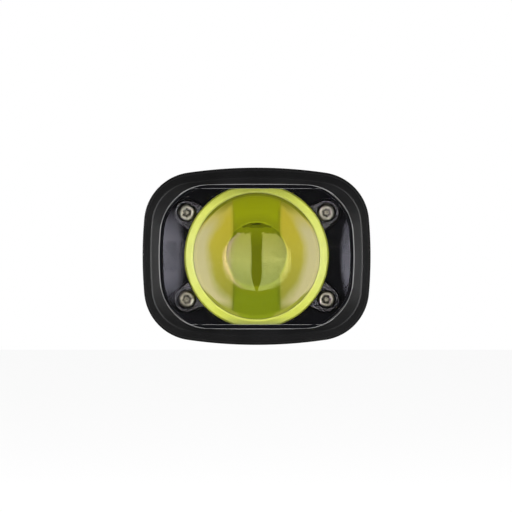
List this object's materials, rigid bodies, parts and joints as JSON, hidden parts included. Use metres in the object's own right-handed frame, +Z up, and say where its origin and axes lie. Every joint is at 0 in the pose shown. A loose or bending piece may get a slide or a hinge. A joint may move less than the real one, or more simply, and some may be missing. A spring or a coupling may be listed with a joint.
{
  "type": "fog light",
  "caption": "Small LED projector fog light: finned black pod with a clear cover, a round lens in a lime ring, and a tilting U bracket.",
  "frame": {"origin": "centre of the bracket's mounting hole, on the rear face of its base", "axes": "+Y out of the bracket's rear face, the lamp shines towards -Y, +X to the right seen from in front of the lens, +Z up"},
  "size_m": [0.0692, 0.0654, 0.0538],
  "materials": {
    "bracket_coat": "satin",
    "nylon_black": "matte",
    "zinc_steel": "satin",
    "stainless": "satin",
    "cast_black": "matte",
    "powder_black": "satin",
    "clear_cover": "gloss",
    "silicone": "matte",
    "gloss_black": "gloss",
    "lime_anodised": "satin",
    "lens_glass": "polished",
    "lime_inner": "satin",
    "bright_plate": "satin",
    "mirror_bowl": "polished",
    "metal_core_board": "satin",
    "led_package": "satin",
    "silicone_grey": "matte",
    "circuit_board": "satin",
    "ferrite": "matte",
    "capacitor_can": "satin",
    "component_black": "matte",
    "wire_red": "satin",
    "inlet_plastic": "matte",
    "contact_brass": "satin",
    "vent_white": "matte"
  },
  "bodies": {
    "bracket": {"mounting_bracket": "bracket_coat", "pivot_thrust_washers": "nylon_black"},
    "lamp": {"pivot_lock_washers": "zinc_steel", "pivot_bolts": "stainless", "heat_sink_housing": "cast_black", "front_bezel": "powder_black", "bezel_screws": "stainless", "cover_lens": "clear_cover", "cover_gasket": "silicone", "inner_trim": "gloss_black", "lens_ring": "lime_anodised", "projector_lens": "lens_glass", "lens_seal": "silicone", "lens_barrel": "lime_inner", "lens_carrier": "bright_plate", "carrier_screws": "stainless", "cutoff_shield": "lime_inner", "reflector": "mirror_bowl", "shield_screws": "zinc_steel", "led_board": "metal_core_board", "led_emitter": "led_package", "thermal_pad": "silicone_grey", "led_board_screws": "zinc_steel", "driver_board": "circuit_board", "driver_screws": "zinc_steel", "driver_inductor": "ferrite", "driver_capacitors": "capacitor_can", "driver_chips": "component_black", "led_leads": "wire_red", "power_leads": "wire_red", "inlet_connector": "inlet_plastic", "inlet_pins": "contact_brass", "inlet_seal": "silicone", "inlet_screws": "stainless", "vent_plug": "inlet_plastic", "vent_membrane": "vent_white"}
  },
  "joints": [
    {"name": "aim_tilt", "type": "hinge", "parent": "bracket", "child": "lamp", "pos_m": [0, -0.0315, 0], "axis": [1, 0, 0], "range_deg": [-60, 45]}
  ]
}
